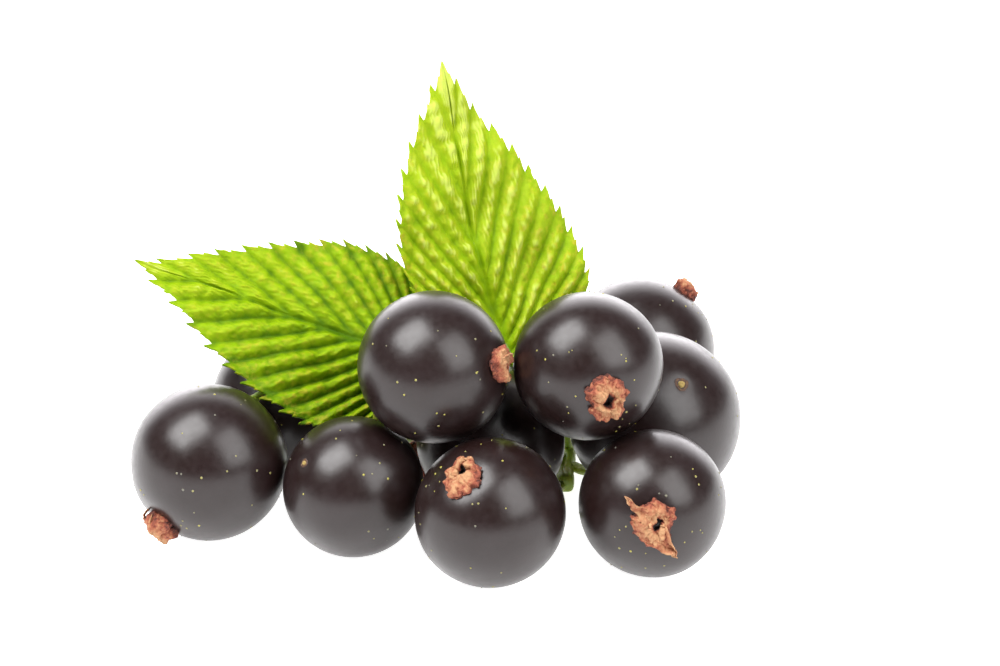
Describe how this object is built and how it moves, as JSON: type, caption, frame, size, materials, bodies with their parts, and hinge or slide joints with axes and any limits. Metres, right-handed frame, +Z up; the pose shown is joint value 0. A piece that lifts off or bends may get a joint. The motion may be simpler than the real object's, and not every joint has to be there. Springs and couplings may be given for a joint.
{
  "type": "sprig of blackcurrants",
  "caption": "Sprig of ripe blackcurrants lying on a table: glossy near-black berries with dried brown flower ends, and young yellow-green toothed leaves.",
  "frame": {"origin": "middle of the sprig's footprint, on the table that it lies on", "axes": "+X along the front row of berries, towards the larger group; +Y from the front row to the back; +Z up"},
  "size_m": [0.0494, 0.0414, 0.0324],
  "materials": {
    "skin": "gloss",
    "dried_flower": "matte",
    "bark": "matte",
    "green_stalk": "satin",
    "leaf": "satin"
  },
  "bodies": {
    "root": {"berry_front": "skin", "berry_front_right": "skin", "berry_front_left": "skin", "berry_left": "skin", "berry_centre": "skin", "berry_right": "skin", "berry_back_left": "skin", "berry_back_right": "skin", "berry_top_left": "skin", "berry_top_right": "skin", "calyx_front": "dried_flower", "calyx_front_right": "dried_flower", "calyx_front_left": "dried_flower", "calyx_left": "dried_flower", "calyx_centre": "dried_flower", "calyx_right": "dried_flower", "calyx_back_left": "dried_flower", "calyx_back_right": "dried_flower", "calyx_top_left": "dried_flower", "calyx_top_right": "dried_flower", "spur": "bark", "strig_right": "green_stalk", "strig_left": "green_stalk", "pedicel_front": "green_stalk", "pedicel_front_right": "green_stalk", "pedicel_left": "green_stalk", "pedicel_centre": "green_stalk", "pedicel_back_left": "green_stalk", "pedicel_back_right": "green_stalk", "pedicel_top_left": "green_stalk", "pedicel_top_right": "green_stalk", "petiole_left": "green_stalk", "petiole_upper": "green_stalk", "leaf_left": "leaf", "leaf_upper": "leaf"}
  },
  "joints": []
}
